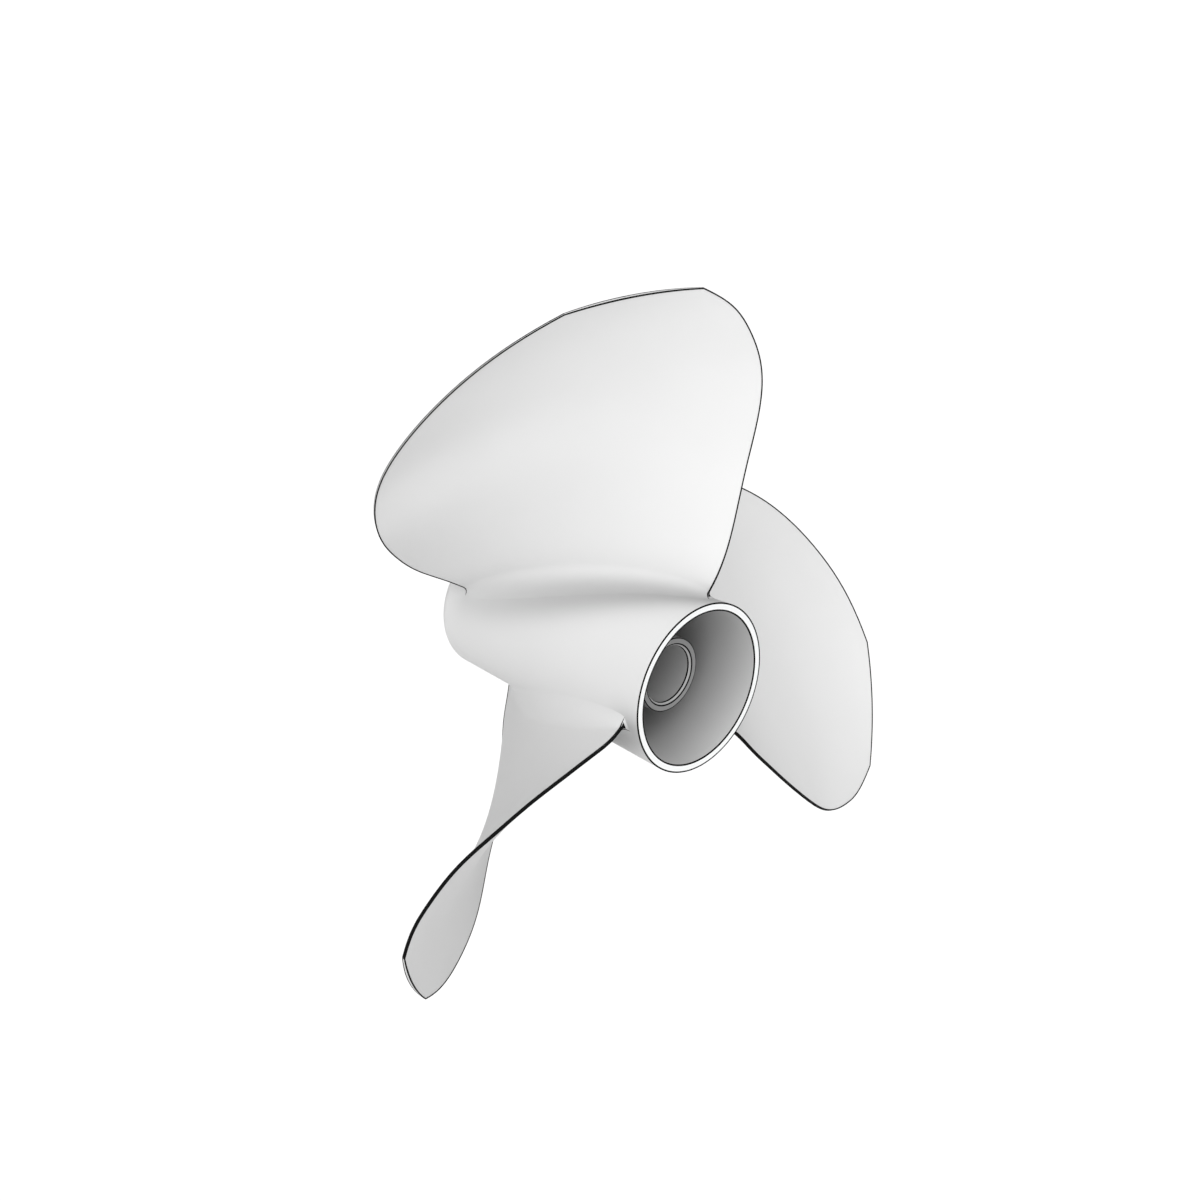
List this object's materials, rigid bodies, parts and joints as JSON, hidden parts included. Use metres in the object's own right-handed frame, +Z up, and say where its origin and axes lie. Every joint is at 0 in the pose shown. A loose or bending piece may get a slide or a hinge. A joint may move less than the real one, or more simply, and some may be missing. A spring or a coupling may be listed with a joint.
{
  "type": "boat propeller",
  "caption": "Left-handed screw propeller with broad skewed blades, square-cut tips and a tapered hollow hub that is open at the back around a bored boss.",
  "frame": {"origin": "centre of the shaft bore at the flat thrust face of the hub's front end", "axes": "+X along the shaft towards the open back of the hub, +Z up, through the blade that points up at rest"},
  "size_m": [0.176, 0.4289, 0.4079],
  "materials": {
    "white_coat": "matte white powder coat on cast aluminium"
  },
  "bodies": {
    "root": {"front_web": "white_coat", "hub_barrel": "white_coat", "shaft_boss": "white_coat", "blade_1": "white_coat", "blade_2": "white_coat", "blade_3": "white_coat"}
  },
  "joints": []
}
